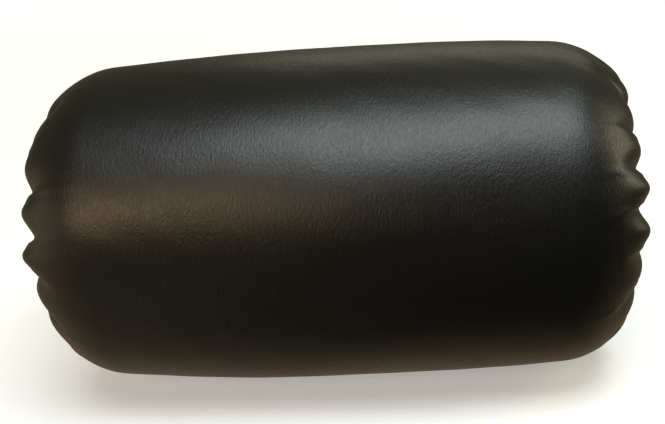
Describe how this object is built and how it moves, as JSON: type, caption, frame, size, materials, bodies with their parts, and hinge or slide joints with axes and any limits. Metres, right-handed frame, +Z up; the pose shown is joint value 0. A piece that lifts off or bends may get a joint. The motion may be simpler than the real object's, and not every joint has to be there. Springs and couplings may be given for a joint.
{
  "type": "bolster pillow",
  "caption": "Firm cylindrical massage bolster in black leather-look vinyl, with puffed gathered ends, covered end buttons and a zip in its back seam.",
  "frame": {"origin": "middle of the flat that the roll rests on, at floor level", "axes": "+X along the roll, from the left end to the right end as its front is seen; +Y towards the back, where the zip is; +Z up"},
  "size_m": [0.264, 0.152, 0.1505],
  "materials": {
    "cover_vinyl": "black polyurethane leather, soft semi-gloss, fine wrinkled grain",
    "liner_cloth": "thin off-white non-woven lining cloth",
    "wadding": "white polyester fibre wadding",
    "foam": "pale yellow open-cell polyurethane foam, cut surface",
    "draw_cord": "black braided polyester cord",
    "button_vinyl": "black polyurethane leather, as the cover",
    "button_metal": "pressed tinplate steel",
    "washer_plastic": "black nylon, moulded",
    "zip_tape": "black woven polyester tape",
    "zip_coil": "black nylon coil",
    "zip_metal": "black lacquered zinc"
  },
  "bodies": {
    "cover": {"cover_sleeve": "cover_vinyl", "core_liner": "liner_cloth", "batting_wrap": "wadding", "left_end_pad": "wadding", "right_end_pad": "wadding", "foam_core": "foam", "left_draw_cord": "draw_cord", "right_draw_cord": "draw_cord", "left_button_cover": "button_vinyl", "right_button_cover": "button_vinyl", "left_button_shell": "button_metal", "right_button_shell": "button_metal", "left_button_back": "button_metal", "right_button_back": "button_metal", "left_button_washer": "washer_plastic", "right_button_washer": "washer_plastic", "zip_tape_upper": "zip_tape", "zip_tape_lower": "zip_tape", "zip_coil_upper": "zip_coil", "zip_coil_lower": "zip_coil", "zip_bottom_stop": "zip_metal", "zip_top_stop_upper": "zip_metal", "zip_top_stop_lower": "zip_metal"},
    "slider": {"zip_slider": "zip_metal"},
    "pull": {"zip_pull": "zip_metal"}
  },
  "joints": [
    {"name": "zip_run", "type": "slide", "parent": "cover", "child": "slider", "axis": [1, 0, 0], "range_m": [0, 0.175]},
    {"name": "pull_flip", "type": "hinge", "parent": "slider", "child": "pull", "pos_m": [-0.0877, 0.06657, 0.1161], "axis": [0, -0.5299, 0.848], "range_deg": [0, 180]}
  ]
}
